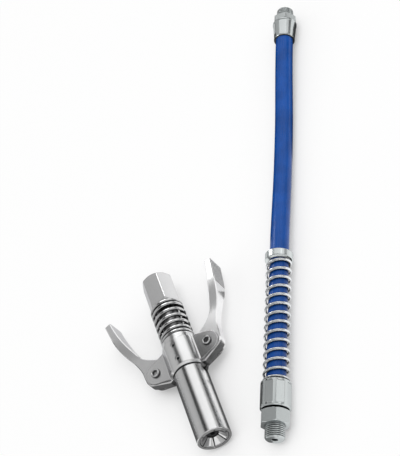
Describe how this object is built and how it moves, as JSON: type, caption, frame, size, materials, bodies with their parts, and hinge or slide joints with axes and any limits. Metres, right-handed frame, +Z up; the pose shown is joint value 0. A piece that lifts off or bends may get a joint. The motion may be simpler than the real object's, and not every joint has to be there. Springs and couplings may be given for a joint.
{
  "type": "grease coupler with hose",
  "caption": "Two-lever quick coupler for grease fittings, with split jaws in a sliding barrel, open spring and hexagonal inlet, beside a short blue hose with wire guard and threaded ends.",
  "frame": {"origin": "on the floor under the middle of the coupler, halfway along its length", "axes": "+X along the coupler's axis towards its inlet hexagon, +Y towards the left lever, +Z up out of the plane of the levers"},
  "size_m": [0.2642, 0.1821, 0.0208],
  "materials": {
    "barrel_steel": "satin turned steel with soft streaks along its length",
    "collar_steel": "satin steel with bright worn edges",
    "lever_steel": "flat satin steel with bright bevelled edges",
    "hex_steel": "polished steel",
    "stem_steel": "oiled turned steel",
    "spring_steel": "bright plated spring wire",
    "ball_steel": "polished steel",
    "screw_steel": "dark oiled steel",
    "pin_steel": "polished steel",
    "jaw_steel": "polished steel",
    "ring_steel": "spring steel wire",
    "seal_rubber": "matt black rubber",
    "hose_cover": "smooth blue hose cover with a soft sheen",
    "guard_steel": "zinc plated wire",
    "hose_fittings": "zinc plated steel"
  },
  "bodies": {
    "core": {"core_stem": "stem_steel", "inlet_hex": "hex_steel", "main_spring": "spring_steel", "check_seat": "stem_steel", "check_spring": "spring_steel", "seal_spring": "spring_steel", "jaw_ring": "ring_steel", "hose_tube": "hose_cover", "hose_guard_spring": "guard_steel", "hose_guard_ring": "hose_fittings", "hose_inlet_ferrule": "hose_fittings", "hose_inlet_nipple": "hose_fittings", "hose_outlet_ferrule": "hose_fittings", "hose_outlet_nipple": "hose_fittings"},
    "sleeve": {"barrel": "barrel_steel", "collar": "collar_steel", "set_screw_front": "screw_steel", "set_screw_rear": "screw_steel", "pivot_pin_left": "pin_steel", "pivot_pin_right": "pin_steel"},
    "lever_left": {"lever_left": "lever_steel"},
    "lever_right": {"lever_right": "lever_steel"},
    "jaw_1": {"jaw_1": "jaw_steel"},
    "jaw_2": {"jaw_2": "jaw_steel"},
    "jaw_3": {"jaw_3": "jaw_steel"},
    "jaw_4": {"jaw_4": "jaw_steel"},
    "jaw_5": {"jaw_5": "jaw_steel"},
    "jaw_6": {"jaw_6": "jaw_steel"},
    "seal": {"seal": "seal_rubber"},
    "check_ball": {"check_ball": "ball_steel"}
  },
  "joints": [
    {"name": "sleeve_slide", "type": "slide", "parent": "core", "child": "sleeve", "axis": [1, 0, 0], "range_m": [0, 0.00265], "stiffness_N_per_m": 5800, "deforming": ["main_spring"]},
    {"name": "lever_left_hinge", "type": "hinge", "parent": "sleeve", "child": "lever_left", "pos_m": [-0.0035, 0.0167, 0.0104], "axis": [0, 0, 1], "range_deg": [-16, 0]},
    {"name": "lever_right_hinge", "type": "hinge", "parent": "sleeve", "child": "lever_right", "pos_m": [-0.0035, -0.0167, 0.0104], "axis": [0, 0, 1], "range_deg": [0, 16]},
    {"name": "jaw_1_hinge", "type": "hinge", "parent": "core", "child": "jaw_1", "pos_m": [-0.0408, 0.00346, 0.0124], "axis": [0, 0.5, -0.866], "range_deg": [0, 2.4]},
    {"name": "jaw_2_hinge", "type": "hinge", "parent": "core", "child": "jaw_2", "pos_m": [-0.0408, 0, 0.0144], "axis": [0, 1, 0], "range_deg": [0, 2.4]},
    {"name": "jaw_3_hinge", "type": "hinge", "parent": "core", "child": "jaw_3", "pos_m": [-0.0408, -0.00346, 0.0124], "axis": [0, 0.5, 0.866], "range_deg": [0, 2.4]},
    {"name": "jaw_4_hinge", "type": "hinge", "parent": "core", "child": "jaw_4", "pos_m": [-0.0408, -0.00346, 0.0084], "axis": [0, -0.5, 0.866], "range_deg": [0, 2.4]},
    {"name": "jaw_5_hinge", "type": "hinge", "parent": "core", "child": "jaw_5", "pos_m": [-0.0408, 0, 0.0064], "axis": [0, -1, 0], "range_deg": [0, 2.4]},
    {"name": "jaw_6_hinge", "type": "hinge", "parent": "core", "child": "jaw_6", "pos_m": [-0.0408, 0.00346, 0.0084], "axis": [0, -0.5, -0.866], "range_deg": [0, 2.4]},
    {"name": "seal_slide", "type": "slide", "parent": "core", "child": "seal", "axis": [1, 0, 0], "range_m": [0, 0.002], "stiffness_N_per_m": 3000, "deforming": ["seal_spring"]},
    {"name": "check_ball_slide", "type": "slide", "parent": "core", "child": "check_ball", "axis": [-1, 0, 0], "range_m": [0, 0.0012], "stiffness_N_per_m": 450, "deforming": ["check_spring"]}
  ],
  "couplings": [
    {"joint": "lever_left_hinge", "follows": "sleeve_slide", "rad_per_m": -105.26},
    {"joint": "lever_right_hinge", "follows": "sleeve_slide", "rad_per_m": 105.26},
    {"joint": "jaw_1_hinge", "follows": "sleeve_slide", "rad_per_m": 15.79},
    {"joint": "jaw_2_hinge", "follows": "sleeve_slide", "rad_per_m": 15.79},
    {"joint": "jaw_3_hinge", "follows": "sleeve_slide", "rad_per_m": 15.79},
    {"joint": "jaw_4_hinge", "follows": "sleeve_slide", "rad_per_m": 15.79},
    {"joint": "jaw_5_hinge", "follows": "sleeve_slide", "rad_per_m": 15.79},
    {"joint": "jaw_6_hinge", "follows": "sleeve_slide", "rad_per_m": 15.79}
  ]
}
